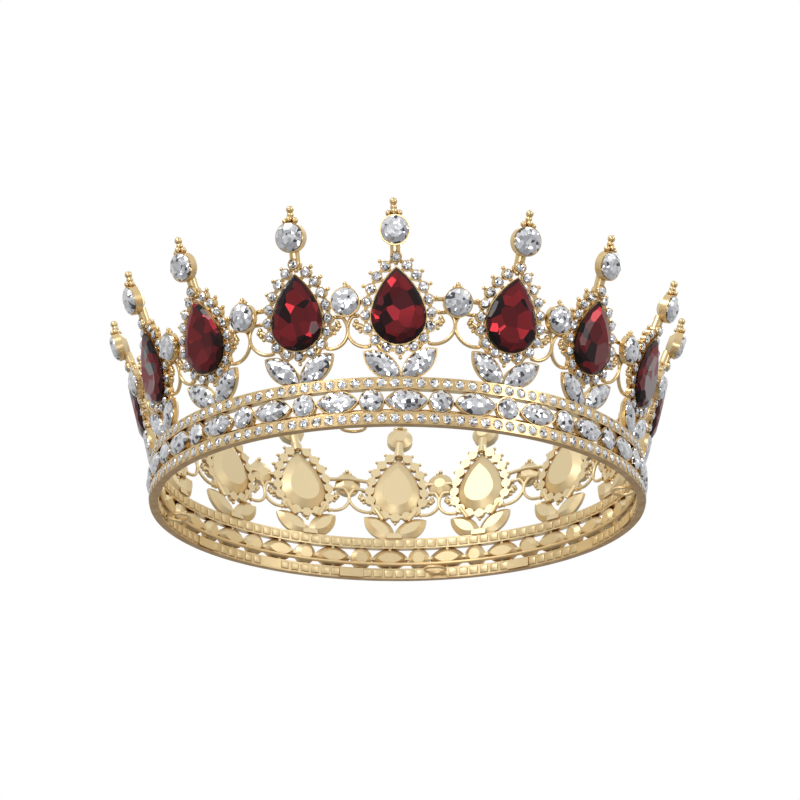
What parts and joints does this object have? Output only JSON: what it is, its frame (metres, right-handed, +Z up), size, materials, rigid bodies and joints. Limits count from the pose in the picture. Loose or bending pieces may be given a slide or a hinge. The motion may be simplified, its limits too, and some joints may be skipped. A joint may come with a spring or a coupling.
{
  "type": "crown",
  "caption": "Round cast crown: a stone-set band of two rails carries leaning spires, each a pear crystal in a halo of small stones under a round crystal and beads.",
  "frame": {"origin": "centre of the ring at the height of its flat bottom edge", "axes": "+Z up along the ring's axis, -Y towards the front spire"},
  "size_m": [0.1794, 0.1794, 0.0608],
  "materials": {
    "cast_gold": "bright light gold plating outside, satin inside",
    "garnet_glass": "faceted, foil-backed, deep garnet red",
    "clear_crystal": "faceted, foil-backed, colourless"
  },
  "bodies": {
    "root": {"band_panel_1": "cast_gold", "band_panel_2": "cast_gold", "band_panel_3": "cast_gold", "band_panel_4": "cast_gold", "band_panel_5": "cast_gold", "band_panel_6": "cast_gold", "band_panel_7": "cast_gold", "band_panel_8": "cast_gold", "spire_frame_01": "cast_gold", "spire_frame_02": "cast_gold", "spire_frame_03": "cast_gold", "spire_frame_04": "cast_gold", "spire_frame_05": "cast_gold", "spire_frame_06": "cast_gold", "spire_frame_07": "cast_gold", "spire_frame_08": "cast_gold", "spire_frame_09": "cast_gold", "spire_frame_10": "cast_gold", "spire_frame_11": "cast_gold", "spire_frame_12": "cast_gold", "spire_frame_13": "cast_gold", "spire_frame_14": "cast_gold", "spire_frame_15": "cast_gold", "spire_frame_16": "cast_gold", "pear_crystal_01": "garnet_glass", "pear_crystal_02": "garnet_glass", "pear_crystal_03": "garnet_glass", "pear_crystal_04": "garnet_glass", "pear_crystal_05": "garnet_glass", "pear_crystal_06": "garnet_glass", "pear_crystal_07": "garnet_glass", "pear_crystal_08": "garnet_glass", "pear_crystal_09": "garnet_glass", "pear_crystal_10": "garnet_glass", "pear_crystal_11": "garnet_glass", "pear_crystal_12": "garnet_glass", "pear_crystal_13": "garnet_glass", "pear_crystal_14": "garnet_glass", "pear_crystal_15": "garnet_glass", "pear_crystal_16": "garnet_glass", "top_round_crystals": "clear_crystal", "between_round_crystals": "clear_crystal", "leaf_crystals": "clear_crystal", "band_marquise_crystals": "clear_crystal", "band_round_crystals": "clear_crystal", "upper_rail_stones": "clear_crystal", "lower_rail_stones": "clear_crystal", "halo_stones": "clear_crystal", "reinforcing_wire": "cast_gold", "joint_plates": "cast_gold", "hair_loop_1": "cast_gold", "hair_loop_2": "cast_gold", "hair_loop_3": "cast_gold", "hair_loop_4": "cast_gold"}
  },
  "joints": []
}
